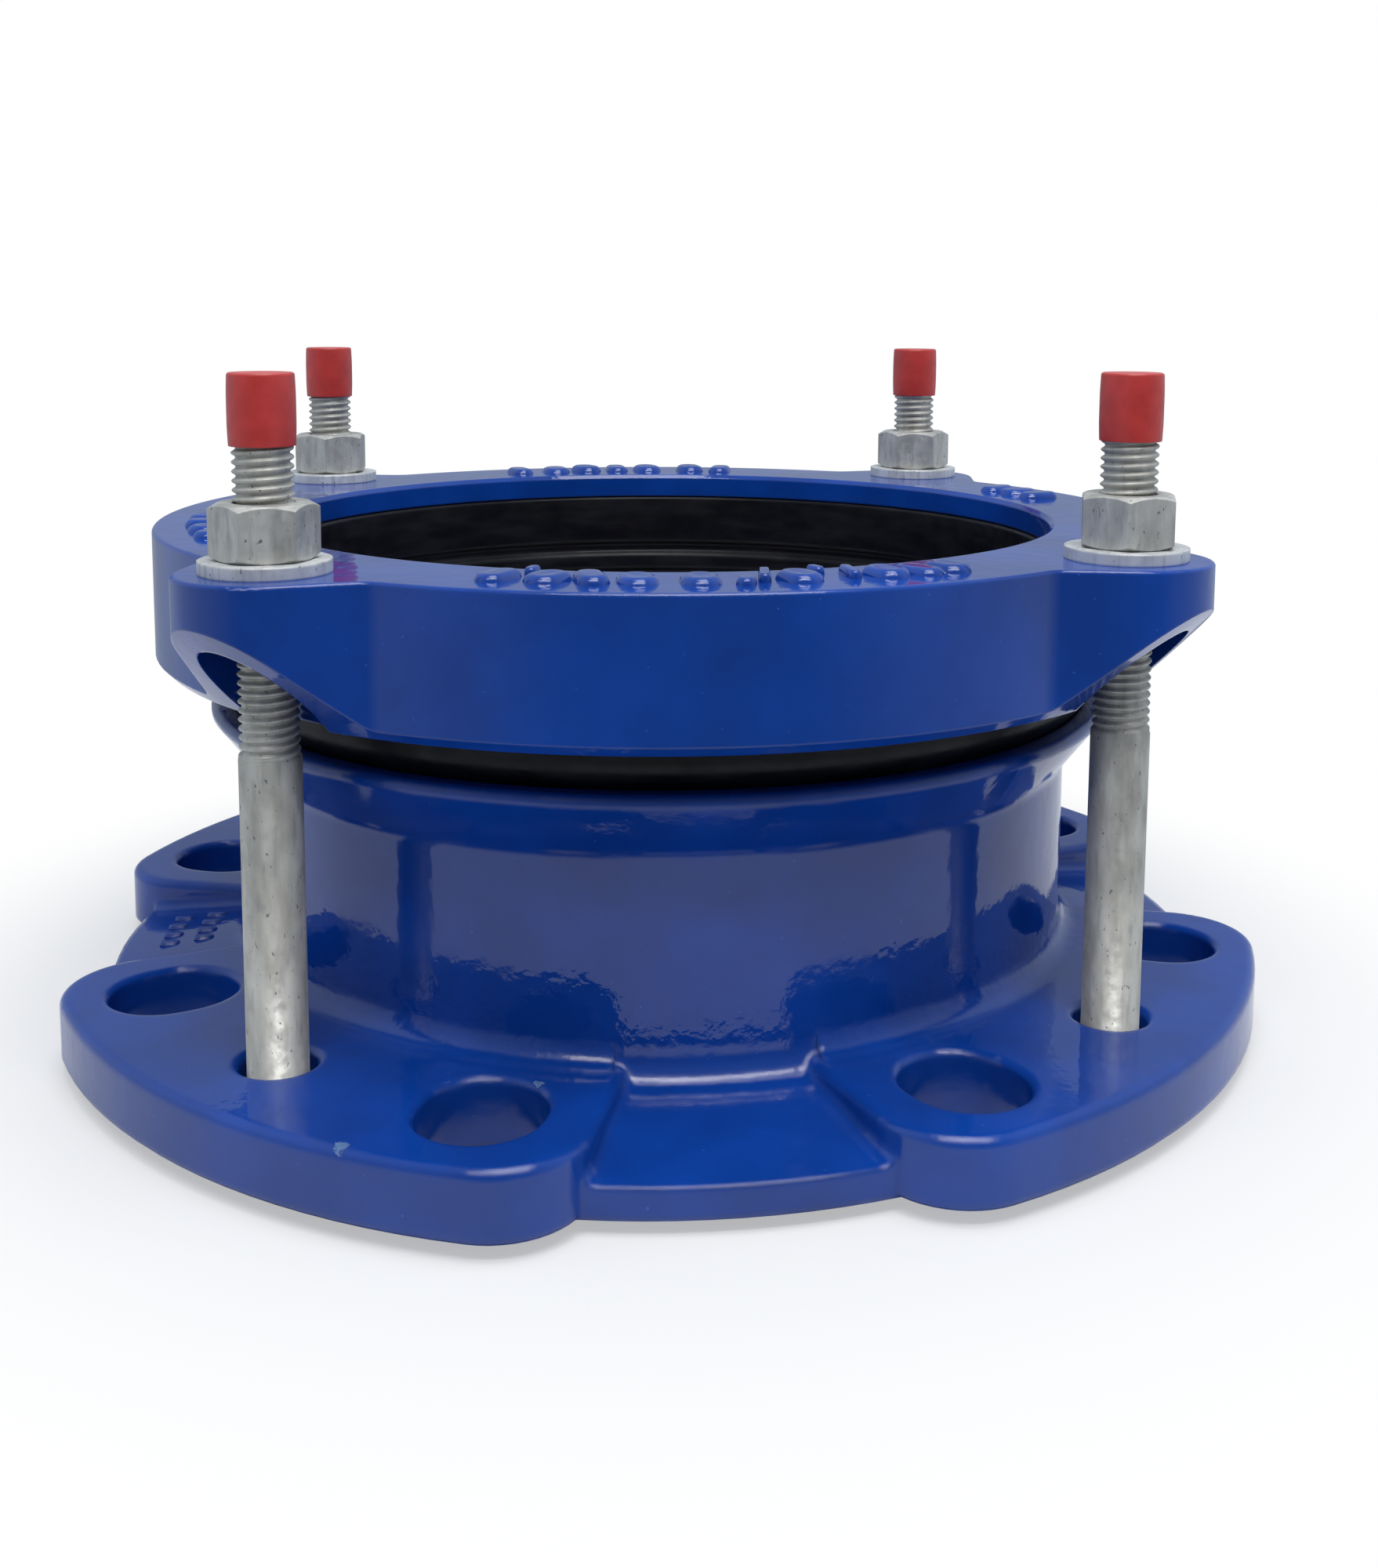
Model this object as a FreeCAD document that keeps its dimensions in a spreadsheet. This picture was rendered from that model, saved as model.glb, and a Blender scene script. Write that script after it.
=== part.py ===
import FreeCAD, Part
import math
import os
import Sketcher

# Universal flange adaptor for a 150 mm water main, standing on its flange face.
# Z is the pipe axis and points up, z = 0 is the sealing face of the flange,
# and the origin is the centre of that face. Lengths are in millimetres.

os.makedirs("parts", exist_ok=True)
doc = FreeCAD.newDocument("flange_adaptor")
sizes = doc.addObject("Spreadsheet::Sheet", "Sizes")

SIZES = [
    # Flange of the body casting
    ("flange_thickness", 17, "sealing face to the top of a lobe"),
    ("sealing_band", 13.5, "sealing face, from the bore to its outer edge"),
    ("raised_face_height", 3, "how far the sealing face stands proud of the lobes"),
    ("slot_setback", 22.5, "neck to the middle of a flange slot"),
    ("lobe_margin", 22.5, "middle of a flange slot to the rim of a lobe"),
    ("web_setback", 12, "rim of a lobe to the rim of the thin web between two lobes"),
    ("web_rim_thickness", 6.2, "web at its rim"),
    ("web_draft", 7.5, "rise of the web towards the neck, in degrees"),
    ("bay_half_width", 18, "half width of a bay where it meets the neck"),
    ("bay_flare", 18, "how far each side wall of a bay leans out, in degrees"),
    ("bay_floor_radius", 2.5, "hollow corner between a side wall and the web"),
    ("lobe_corner_radius", 18, "plan radius of the outer corners of a lobe"),
    ("lobe_edge_radius", 2, "rounding of the top edges of a lobe"),
    ("lobe_chamfer", 1, "bevel of the lower edges of a lobe"),
    ("hole_rim_bevel", 1, "bevel of the upper rims of slots and tie holes"),
    ("slot_width", 24, "across a flange slot"),
    ("slot_stretch", 2.8, "how much longer a slot is along the radius"),
    # Neck and bell of the body casting
    ("bore_diameter", 184, "pipe passage"),
    ("neck_wall", 5.5, "wall of the neck"),
    ("neck_foot_radius", 5, "fillet from the neck to a lobe"),
    ("bay_foot_radius", 8, "fillet from the neck to the web"),
    ("flare_height", 12, "height over which the neck flares to the bead"),
    ("flare_start_radius", 4, "how gently the flare begins"),
    ("bell_wall", 4.75, "wall at the mouth of the bell, under the bead"),
    ("bead_height", 2.4, "upright band at the mouth of the bell"),
    ("bead_bevel", 1, "bevel of the top of that band"),
    ("body_height", 73.4, "sealing face to the mouth of the bell"),
    ("seat_widening", 10, "gasket seat, wider than the bore at its mouth, on the radius"),
    ("seat_depth", 17, "gasket seat, from the mouth down"),
    # Gland ring
    ("ring_clearance", 10.3, "mouth of the bell to the underside of the ring"),
    ("mouth_overhang", 1.75, "gasket cone, wider than the bead at its mouth, on the radius"),
    ("ring_wall", 10, "wall at the underside of the ring"),
    ("ring_height", 30, "underside to top"),
    ("lip_play", 1, "lip of the ring, wider than the bore of the body, on the radius"),
    ("lip_height", 6.3, "lip at the top of the ring"),
    ("lip_bevel", 1, "bevel of the upper edge of the lip"),
    ("ledge_width", 4, "step under the lip that the gasket bears on"),
    ("ring_edge_radius", 0.8, "rounding of the top edges"),
    ("ring_lower_bevel", 2, "bevel of the lower edge"),
    ("ear_radius", 17.5, "round end of an ear, about its bolt"),
    ("ear_root_depth", 8, "how far an ear runs into the ring"),
    ("ear_root_half_width", 27, "half width of an ear at that depth"),
    ("ear_crease_radius", 6, "hollow corner between an ear and the ring"),
    ("ear_slope", 45, "underside of an ear, in degrees"),
    ("ear_plate", 9, "thickness over the pocket of an ear"),
    ("ear_wall", 4.8, "wall round the pocket of an ear"),
    ("pocket_back_wall", 4.2, "wall left between a pocket and the gasket cone"),
    ("pocket_play", 1.55, "back of a pocket to the tie bolt in it"),
    ("ear_hole_diameter", 14, "bolt hole in an ear"),
    # Gasket
    ("gasket_clearance", 0.3, "gasket to its seats at rest"),
    ("gasket_toe", 1.5, "flat lower end of the gasket"),
    ("gasket_shoulder", 3.5, "upright band below the mouth of the ring"),
    ("first_hollow", 15.4, "ledge of the ring down to the top hollow"),
    ("rib_pitch", 8, "spacing of the hollows between the sealing ribs"),
    ("rib_hollow_mouth", 4.4, "width of a hollow at the bore"),
    ("rib_hollow_floor", 1.8, "width of a hollow at its bottom"),
    ("rib_hollow_depth", 1.5, "how deep each hollow is"),
    ("rib_hollow_count", 4, "hollows down the bore"),
    # Tie bolts, nuts, washers and thread caps
    ("tie_hole_diameter", 15.2, "tie bolt hole in a lobe"),
    ("bolt_diameter", 12, "plain shank"),
    ("thread_diameter", 11.6, "crests of the rolled thread"),
    ("thread_length", 72, "threaded end"),
    ("thread_runout", 1.75, "taper from the shank to the thread"),
    ("bolt_end_bevel", 1.2, "bevel at the threaded end"),
    ("bolt_spare", 22.9, "how far a bolt stands out of its nut"),
    ("hexagon_bevel", 30, "slope of the bevelled corners of heads and nuts, in degrees"),
    ("hexagon_land", 0.4, "flat faces of heads and nuts end this far inside their flats"),
    ("head_across_flats", 18, "hexagon head"),
    ("head_height", 7.5, "hexagon head"),
    ("head_recess", 6.9, "how deep the pocket for a head is"),
    ("head_play", 0.6, "play of the head across its pocket"),
    ("nut_across_flats", 18, "hexagon nut"),
    ("nut_height", 10.8, "hexagon nut"),
    ("nut_play", 0.1, "nut bore over the thread, on the diameter"),
    ("washer_diameter", 25, "plain washer"),
    ("washer_bore", 13, "plain washer"),
    ("washer_thickness", 2.5, "plain washer"),
    ("cap_diameter", 12.7, "push-on thread cap"),
    ("cap_height", 13.7, "push-on thread cap"),
    ("cap_roof", 1.3, "closed end of a thread cap"),
    ("cap_dish", 0.3, "hollow in the middle of the roof"),
    ("cap_edge", 0.6, "bevel round the roof"),
    ("cap_play", 0.1, "cap bore over the thread, on the diameter"),
    # Where each nut stopped turning, in degrees from the radius of the ring
    ("nut_turn_back_right", 4, "corner of the nut"),
    ("nut_turn_back_left", 11, "corner of the nut"),
    ("nut_turn_front_left", 24, "corner of the nut"),
    ("nut_turn_front_right", 56, "corner of the nut"),
]

for row, (alias, size, meaning) in enumerate(SIZES, start=1):
    sizes.set(f"A{row}", meaning)
    sizes.set(f"B{row}", str(size))
    sizes.setAlias(f"B{row}", alias)
doc.recompute()

# Radii that several pieces share, from the bore outwards. The slots come to the
# 240 mm circle and the lobes to the 285 mm rim of a 150 mm flange.
BORE_R = "Sizes.bore_diameter / 2"
NECK_R = f"({BORE_R} + Sizes.neck_wall)"
FACE_R = f"({BORE_R} + Sizes.sealing_band)"
SLOT_R = f"({NECK_R} + Sizes.slot_setback)"
LOBE_R = f"({SLOT_R} + Sizes.lobe_margin)"
WEB_R = f"({LOBE_R} - Sizes.web_setback)"
SEAT_R = f"({BORE_R} + Sizes.seat_widening)"
BEAD_R = f"({SEAT_R} + Sizes.bell_wall)"
LIP_R = f"({BORE_R} + Sizes.lip_play)"
LEDGE_R = f"({LIP_R} + Sizes.ledge_width)"
MOUTH_R = f"({BEAD_R} + Sizes.mouth_overhang)"
RING_R = f"({MOUTH_R} + Sizes.ring_wall)"
POCKET_BACK = "(Sizes.pocket_play + Sizes.bolt_diameter / 2)"
TIE_R = f"({MOUTH_R} + Sizes.pocket_back_wall + {POCKET_BACK})"

# Heights that several pieces share, from the sealing face up
LOBE_FLOOR = "Sizes.raised_face_height"
LOBE_TOP = "Sizes.flange_thickness"
LOBE_HEIGHT = "Sizes.flange_thickness - Sizes.raised_face_height"
WEB_RIM_TOP = "Sizes.raised_face_height + Sizes.web_rim_thickness"
BELL_TOP = "Sizes.body_height"
RING_FLOOR = "Sizes.body_height + Sizes.ring_clearance"
RING_TOP = f"{RING_FLOOR} + Sizes.ring_height"
LEDGE = f"{RING_TOP} - Sizes.lip_height"
NUT_FLOOR = f"{RING_TOP} + Sizes.washer_thickness"
NUT_TOP = f"{NUT_FLOOR} + Sizes.nut_height"
HEAD_SEAT = f"{LOBE_FLOOR} + Sizes.head_recess"
HEAD_FLOOR = f"{HEAD_SEAT} - Sizes.head_height"
BOLT_END = f"{NUT_TOP} + Sizes.bolt_spare"
CAP_TOP = f"{BOLT_END} + Sizes.cap_play + Sizes.cap_roof"
CAP_FLOOR = f"{CAP_TOP} - Sizes.cap_height"

# The four tie bolts and the eight slots stand evenly about the pipe axis, from
# the direction of the first of each, in degrees
CORNERS = ("back_right", "back_left", "front_left", "front_right")
FIRST_CORNER = 45
SLOT_COUNT = 8
FIRST_SLOT = 22.5
UP = FreeCAD.Vector(0, 0, 1)


def value(expression):
    """The number that a sheet expression gives now."""
    return float(sizes.evalExpression(expression))


def new_body(name):
    body = doc.addObject("PartDesign::Body", name)
    body.Label = name
    return body


def origin_part(body, role):
    """One of the body's own origin planes or axes, found by its role."""
    return next(item for item in body.Origin.OriginFeatures if item.Role == role)


def profile_sketch(body, name, turn=0):
    """A sketch in the plane through Z that points turn degrees round from X."""
    sketch = body.newObject("Sketcher::SketchObject", name)
    sketch.AttachmentSupport = [(origin_part(body, "XZ_Plane"), "")]
    sketch.MapMode = "FlatFace"
    about_z = FreeCAD.Rotation(FreeCAD.Vector(0, 1, 0), turn)
    sketch.AttachmentOffset = FreeCAD.Placement(FreeCAD.Vector(), about_z)
    return sketch


def plan_sketch(body, name, height, out=None, turn=0):
    """A level sketch at a height. With out, its centre lies that far from Z."""
    sketch = body.newObject("Sketcher::SketchObject", name)
    sketch.AttachmentSupport = [(origin_part(body, "XY_Plane"), "")]
    sketch.MapMode = "FlatFace"
    sketch.AttachmentOffset = FreeCAD.Placement(FreeCAD.Vector(), FreeCAD.Rotation(UP, turn))
    sketch.setExpression("AttachmentOffset.Base.z", height)
    if out:
        sketch.setExpression("AttachmentOffset.Base.x", f"({out}) * cos({turn} deg)")
        sketch.setExpression("AttachmentOffset.Base.y", f"({out}) * sin({turn} deg)")
    return sketch


def tie(sketch, kind, geometry, expression):
    """A constraint whose size is bound to the sheet."""
    index = sketch.addConstraint(Sketcher.Constraint(kind, *geometry, value(expression)))
    sketch.setExpression(f"Constraints[{index}]", expression)


def pin(sketch, line, end, across, up):
    """Hold one point of a sketch at the place that the sheet gives."""
    for kind, expression, axis in (("DistanceX", across, -2), ("DistanceY", up, -1)):
        if expression == "0":
            sketch.addConstraint(Sketcher.Constraint("PointOnObject", line, end, axis))
        else:
            tie(sketch, kind, (-1, 1, line, end), expression)


def arc_between(start, end, centre):
    """An arc about a centre, anticlockwise from one point to another."""
    first = start - centre
    second = end - centre
    whole = Part.Circle(centre, UP, first.Length)
    return Part.ArcOfCircle(whole, math.atan2(first.y, first.x), math.atan2(second.y, second.x))


def outline(sketch, corners, hollows=None):
    """A closed outline through corners given as expressions.

    Its edges are straight, except that each edge named in hollows is an arc
    about the centre given there, run clockwise from corner to corner.
    """
    hollows = hollows or {}
    points = [FreeCAD.Vector(value(across), value(up), 0) for across, up in corners]
    count = len(points)
    for index, point in enumerate(points):
        following = points[(index + 1) % count]
        if index in hollows:
            centre = FreeCAD.Vector(*[value(place) for place in hollows[index]], 0)
            sketch.addGeometry(arc_between(following, point, centre))
        else:
            sketch.addGeometry(Part.LineSegment(point, following))
    for index in range(count):
        following = (index + 1) % count
        end = 1 if index in hollows else 2
        start = 2 if following in hollows else 1
        sketch.addConstraint(Sketcher.Constraint("Coincident", index, end, following, start))
    for index, (across, up) in enumerate(corners):
        pin(sketch, index, 2 if index in hollows else 1, across, up)
    for index, (across, up) in hollows.items():
        tie(sketch, "DistanceX", (-1, 1, index, 3), across)


def circle(sketch, radius, across="0", up="0"):
    """A circle whose centre and radius are bound to the sheet."""
    centre = FreeCAD.Vector(value(across), value(up), 0)
    index = sketch.addGeometry(Part.Circle(centre, UP, value(radius)))
    tie(sketch, "Radius", (index,), radius)
    pin(sketch, index, 3, across, up)


def hexagon(sketch, across_flats):
    """A regular hexagon about the sketch's centre, with a corner on its X axis."""
    reach = f"({across_flats}) / 2 / cos(30 deg)"
    corners = []
    for step in range(6):
        cosine = round(math.cos(math.radians(60 * step)), 9)
        sine = round(math.sin(math.radians(60 * step)), 9)
        corners.append((f"{reach} * {cosine}", f"{reach} * {sine}" if sine else "0"))
    outline(sketch, corners)


def settle(feature):
    """Recompute, and stop if the feature did not come out as one sound shape."""
    doc.recompute()
    if "Invalid" in feature.State or feature.Shape.isNull() or not feature.Shape.isValid():
        raise RuntimeError(f"{feature.Name} failed: {feature.getStatusString()}")
    return feature


def revolve(body, name, corners, hollows=None):
    """Turn a closed profile in the XZ plane about Z."""
    sketch = profile_sketch(body, name + "_profile")
    outline(sketch, corners, hollows)
    feature = body.newObject("PartDesign::Revolution", name)
    feature.Profile = sketch
    feature.ReferenceAxis = (sketch, ["V_Axis"])
    return settle(feature)


def groove(body, name, sketch):
    """Cut a turned profile away about Z. A cut that removes nothing is a mistake."""
    before = body.Shape.Volume
    feature = body.newObject("PartDesign::Groove", name)
    feature.Profile = sketch
    feature.ReferenceAxis = (sketch, ["V_Axis"])
    settle(feature)
    if feature.Shape.Volume >= before:
        raise RuntimeError(name + " removes nothing")
    return feature


def pad(body, name, sketch, length):
    feature = body.newObject("PartDesign::Pad", name)
    feature.Profile = sketch
    feature.setExpression("Length", length)
    return settle(feature)


def pocket(body, name, sketch, length, upwards=False):
    """Cut a sketch into the body. A cut that removes nothing is a mistake."""
    before = body.Shape.Volume
    feature = body.newObject("PartDesign::Pocket", name)
    feature.Profile = sketch
    feature.setExpression("Length", length)
    feature.Reversed = upwards
    settle(feature)
    if feature.Shape.Volume >= before:
        raise RuntimeError(name + " removes nothing")
    return feature


def polar(body, name, feature, count):
    """Repeat one feature evenly about Z."""
    pattern = body.newObject("PartDesign::PolarPattern", name)
    pattern.Originals = [feature]
    pattern.Axis = (origin_part(body, "Z_Axis"), [""])
    pattern.Angle = 360
    pattern.Occurrences = count
    body.Tip = pattern
    return settle(pattern)


def soften(body, name, wanted, size, kind="Fillet"):
    """Round or bevel every edge of the body for which wanted(edge) is true."""
    before = body.Tip
    edges = before.Shape.Edges
    names = [f"Edge{index}" for index, edge in enumerate(edges, start=1) if wanted(edge)]
    if not names:
        raise RuntimeError(name + " finds no edge")
    feature = body.newObject("PartDesign::" + kind, name)
    feature.Base = (before, names)
    feature.setExpression("Radius" if kind == "Fillet" else "Size", size)
    return settle(feature)


def same(first, second):
    return abs(first - second) < 0.02


def reach_of(edge):
    """How far the middle of an edge lies from Z."""
    return math.hypot(edge.CenterOfMass.x, edge.CenterOfMass.y)


def level_at(edge, height):
    box = edge.BoundBox
    return same(box.ZMin, value(height)) and same(box.ZMax, value(height))


def level_arc(edge, radius, height):
    """Whether an edge is part of a level circle of a radius, at a height."""
    round_edge = isinstance(edge.Curve, Part.Circle)
    return round_edge and same(edge.Curve.Radius, value(radius)) and level_at(edge, height)


def upright(edge):
    return isinstance(edge.Curve, Part.Line) and abs(edge.Curve.Direction.z) > 0.999


# Adaptor body
# One ductile iron casting: a flange of four thick lobes joined by a thin web,
# a short neck, and a bell at the top whose inside is the seat of the gasket.

# The lobes are shaped first, as a tool that is then joined to the turned part.
# One lobe runs from the side wall of a bay to the side wall of the next, and
# its inner end is buried in the wall of the neck.
lobes = new_body("lobes")
lobe_outline = plan_sketch(lobes, "lobe_outline", LOBE_FLOOR)
wall_across = "Sizes.bay_half_width - Sizes.neck_wall / 2 * tan(Sizes.bay_flare * 1 deg)"
wall_up = f"{NECK_R} - Sizes.neck_wall / 2"
lean = math.radians(value("Sizes.bay_flare"))
wall_line = FreeCAD.Vector(math.sin(lean), math.cos(lean), 0) * value(f"{LOBE_R} - {NECK_R}")
inner_by_y = FreeCAD.Vector(value(wall_across), value(wall_up), 0)
outer_by_y = inner_by_y + wall_line
inner_by_x = FreeCAD.Vector(inner_by_y.y, inner_by_y.x, 0)
outer_by_x = FreeCAD.Vector(outer_by_y.y, outer_by_y.x, 0)
axis_point = FreeCAD.Vector()
lobe_outline.addGeometry(Part.LineSegment(inner_by_y, outer_by_y))
lobe_outline.addGeometry(arc_between(outer_by_x, outer_by_y, axis_point))
lobe_outline.addGeometry(Part.LineSegment(outer_by_x, inner_by_x))
lobe_outline.addGeometry(arc_between(inner_by_x, inner_by_y, axis_point))
for joint in ((0, 2, 1, 2), (1, 1, 2, 1), (2, 2, 3, 1), (3, 2, 0, 1)):
    lobe_outline.addConstraint(Sketcher.Constraint("Coincident", *joint))
lobe_outline.addConstraint(Sketcher.Constraint("Coincident", 1, 3, -1, 1))
lobe_outline.addConstraint(Sketcher.Constraint("PointOnObject", 3, 3, -2))
pin(lobe_outline, 0, 1, wall_across, wall_up)
pin(lobe_outline, 2, 2, wall_up, wall_across)
tie(lobe_outline, "Radius", (1,), LOBE_R)
tie(lobe_outline, "Angle", (0,), "(90 - Sizes.bay_flare) * 1 deg")
tie(lobe_outline, "Angle", (2,), "(Sizes.bay_flare - 180) * 1 deg")
pad(lobes, "lobe", lobe_outline, LOBE_HEIGHT)
soften(lobes, "lobe_corners",
       lambda edge: upright(edge) and same(reach_of(edge), value(LOBE_R)),
       "Sizes.lobe_corner_radius")
soften(lobes, "lobe_top_edges", lambda edge: level_arc(edge, LOBE_R, LOBE_TOP),
       "Sizes.lobe_edge_radius")
soften(lobes, "lobe_lower_edges", lambda edge: level_arc(edge, LOBE_R, LOBE_FLOOR),
       "Sizes.lobe_chamfer", "Chamfer")
lobes.AllowCompound = True
all_lobes = lobes.newObject("PartDesign::PolarPattern", "all_lobes")
all_lobes.TransformMode = "Whole shape"
all_lobes.Axis = (origin_part(lobes, "Z_Axis"), [""])
all_lobes.Angle = 360
all_lobes.Occurrences = 4
lobes.Tip = all_lobes
settle(all_lobes)

# The turned part: raised face, web, neck and bell, with the bore and the
# conical gasket seat inside. Hollow arcs ease the web into the neck and the
# neck into the flare.
adaptor = new_body("adaptor_body")
web_root = f"{WEB_RIM_TOP} + ({WEB_R} - {NECK_R}) * tan(Sizes.web_draft * 1 deg)"
web_ease = "Sizes.bay_foot_radius * tan((90 - Sizes.web_draft) / 2 * 1 deg)"
bead_floor = f"{BELL_TOP} - Sizes.bead_height"
flare_start = f"{bead_floor} - Sizes.flare_height"
flare_angle = f"atan(({BEAD_R} - {NECK_R}) / Sizes.flare_height)"
flare_ease = f"Sizes.flare_start_radius * tan({flare_angle} / 2)"
revolve(adaptor, "neck_and_web", [
    (BORE_R, "0"),
    (FACE_R, "0"),
    (FACE_R, LOBE_FLOOR),
    (WEB_R, LOBE_FLOOR),
    (WEB_R, WEB_RIM_TOP),
    (f"{NECK_R} + {web_ease} * cos(Sizes.web_draft * 1 deg)",
     f"{web_root} - {web_ease} * sin(Sizes.web_draft * 1 deg)"),
    (NECK_R, f"{web_root} + {web_ease}"),
    (NECK_R, f"{flare_start} - {flare_ease}"),
    (f"{NECK_R} + {flare_ease} * sin({flare_angle})",
     f"{flare_start} + {flare_ease} * cos({flare_angle})"),
    (BEAD_R, bead_floor),
    (BEAD_R, f"{BELL_TOP} - Sizes.bead_bevel"),
    (f"{BEAD_R} - Sizes.bead_bevel", BELL_TOP),
    (SEAT_R, BELL_TOP),
    (BORE_R, f"{BELL_TOP} - Sizes.seat_depth"),
], {
    5: (f"{NECK_R} + Sizes.bay_foot_radius", f"{web_root} + {web_ease}"),
    7: (f"{NECK_R} + Sizes.flare_start_radius", f"{flare_start} - {flare_ease}"),
})

flange = adaptor.newObject("PartDesign::Boolean", "lobes_joined")
flange.Type = "Fuse"
flange.setObjects([lobes])
adaptor.Tip = flange
settle(flange)


def bay_wall_foot(edge):
    """The edges along which the side walls of a bay stand on the web."""
    box = edge.BoundBox
    on_web = box.ZMin > value(WEB_RIM_TOP) and box.ZMax < value(web_root)
    past_neck = reach_of(edge) > value(f"{NECK_R} + Sizes.bay_foot_radius")
    inside_rim = reach_of(edge) < value(f"{WEB_R} - Sizes.bay_floor_radius")
    return on_web and past_neck and inside_rim and not same(box.ZMin, box.ZMax)


soften(adaptor, "bay_wall_feet", bay_wall_foot, "Sizes.bay_floor_radius")

# The fillet between the neck and the top of each lobe, turned about Z over
# the width of the lobe and sunk into it below.
foot_profile = profile_sketch(adaptor, "lobe_foot_profile", FIRST_CORNER)
foot_r = f"{NECK_R} + Sizes.neck_foot_radius"
foot_top = f"{LOBE_TOP} + Sizes.neck_foot_radius"
outline(foot_profile, [
    (foot_r, LOBE_FLOOR),
    (foot_r, LOBE_TOP),
    (NECK_R, foot_top),
    (wall_up, foot_top),
    (wall_up, LOBE_FLOOR),
], {1: (foot_r, foot_top)})
lobe_foot = adaptor.newObject("PartDesign::Revolution", "lobe_foot")
lobe_foot.Profile = foot_profile
lobe_foot.ReferenceAxis = (foot_profile, ["V_Axis"])
lobe_foot.Midplane = True
foot_half_width = "Sizes.bay_half_width + Sizes.lobe_edge_radius"
lobe_foot.setExpression("Angle", f"90 deg - 2 * asin(({foot_half_width}) / ({NECK_R}))")
settle(lobe_foot)
polar(adaptor, "lobe_feet", lobe_foot, len(CORNERS))

# Eight slots for the flange bolts, each a little longer along the radius, so
# that the flange fits more than one drilling.
slot_outline = plan_sketch(adaptor, "slot_outline", LOBE_TOP, SLOT_R, FIRST_SLOT)
slot_half = value("Sizes.slot_width / 2")
slot_play = "Sizes.slot_stretch / 2"
outer_end = FreeCAD.Vector(value(slot_play), 0, 0)
aside = FreeCAD.Vector(0, slot_half, 0)
slot_outline.addGeometry(arc_between(outer_end - aside, outer_end + aside, outer_end))
slot_outline.addGeometry(Part.LineSegment(outer_end + aside, aside - outer_end))
inner_circle = Part.Circle(-outer_end, UP, slot_half)
slot_outline.addGeometry(Part.ArcOfCircle(inner_circle, math.pi / 2, 3 * math.pi / 2))
slot_outline.addGeometry(Part.LineSegment(-outer_end - aside, outer_end - aside))
for edge in range(4):
    slot_outline.addConstraint(Sketcher.Constraint("Tangent", edge, 2, (edge + 1) % 4, 1))
slot_outline.addConstraint(Sketcher.Constraint("Equal", 0, 2))
pin(slot_outline, 0, 3, slot_play, "0")
pin(slot_outline, 2, 3, f"-{slot_play}", "0")
tie(slot_outline, "Radius", (0,), "Sizes.slot_width / 2")
slot = pocket(adaptor, "slot", slot_outline, LOBE_TOP)
polar(adaptor, "slots", slot, SLOT_COUNT)

# A hole through each lobe for its tie bolt, and a hexagonal pocket under it
# that stops the head from turning.
tie_hole_outline = plan_sketch(adaptor, "tie_hole_outline", LOBE_TOP, TIE_R, FIRST_CORNER)
circle(tie_hole_outline, "Sizes.tie_hole_diameter / 2")
tie_hole = pocket(adaptor, "tie_hole", tie_hole_outline, LOBE_TOP)
polar(adaptor, "tie_holes", tie_hole, len(CORNERS))


def slot_side(edge):
    """The straight edges along the top of a slot."""
    straight = isinstance(edge.Curve, Part.Line) and level_at(edge, LOBE_TOP)
    return straight and same(edge.Length, value("Sizes.slot_stretch"))


soften(adaptor, "hole_rims",
       lambda edge: level_arc(edge, "Sizes.slot_width / 2", LOBE_TOP)
       or level_arc(edge, "Sizes.tie_hole_diameter / 2", LOBE_TOP)
       or slot_side(edge),
       "Sizes.hole_rim_bevel", "Chamfer")
head_pocket_outline = plan_sketch(adaptor, "head_pocket_outline", LOBE_FLOOR, TIE_R, FIRST_CORNER)
hexagon(head_pocket_outline, "Sizes.head_across_flats + Sizes.head_play")
head_pocket = pocket(adaptor, "head_pocket", head_pocket_outline, "Sizes.head_recess", True)
polar(adaptor, "head_pockets", head_pocket, len(CORNERS))

# Gland ring
# One ductile iron casting: a heavy ring with a lip at the top, a cone inside
# that squeezes the gasket, and four hollow ears for the tie bolts.
gland = new_body("gland_ring")
revolve(gland, "ring", [
    (MOUTH_R, RING_FLOOR),
    (RING_R, RING_FLOOR),
    (RING_R, RING_TOP),
    (f"{LIP_R} + Sizes.lip_bevel", RING_TOP),
    (LIP_R, f"{RING_TOP} - Sizes.lip_bevel"),
    (LIP_R, LEDGE),
    (LEDGE_R, LEDGE),
])

# An ear: a round end about the bolt, with straight sides that run into the ring.
ear_outline = plan_sketch(gland, "ear_outline", RING_FLOOR, TIE_R, FIRST_CORNER)
ear_root = f"{RING_R} - Sizes.ear_root_depth - {TIE_R}"
root_corner = FreeCAD.Vector(value(ear_root), value("Sizes.ear_root_half_width"), 0)
ear_r = value("Sizes.ear_radius")
tangent_turn = math.atan2(root_corner.y, root_corner.x) - math.acos(ear_r / root_corner.Length)
left_touch = FreeCAD.Vector(math.cos(tangent_turn), math.sin(tangent_turn), 0) * ear_r
right_touch = FreeCAD.Vector(left_touch.x, -left_touch.y, 0)
other_corner = FreeCAD.Vector(root_corner.x, -root_corner.y, 0)
ear_outline.addGeometry(arc_between(right_touch, left_touch, FreeCAD.Vector()))
ear_outline.addGeometry(Part.LineSegment(left_touch, root_corner))
ear_outline.addGeometry(Part.LineSegment(root_corner, other_corner))
ear_outline.addGeometry(Part.LineSegment(other_corner, right_touch))
ear_outline.addConstraint(Sketcher.Constraint("Tangent", 0, 2, 1, 1))
ear_outline.addConstraint(Sketcher.Constraint("Tangent", 3, 2, 0, 1))
ear_outline.addConstraint(Sketcher.Constraint("Coincident", 1, 2, 2, 1))
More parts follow.
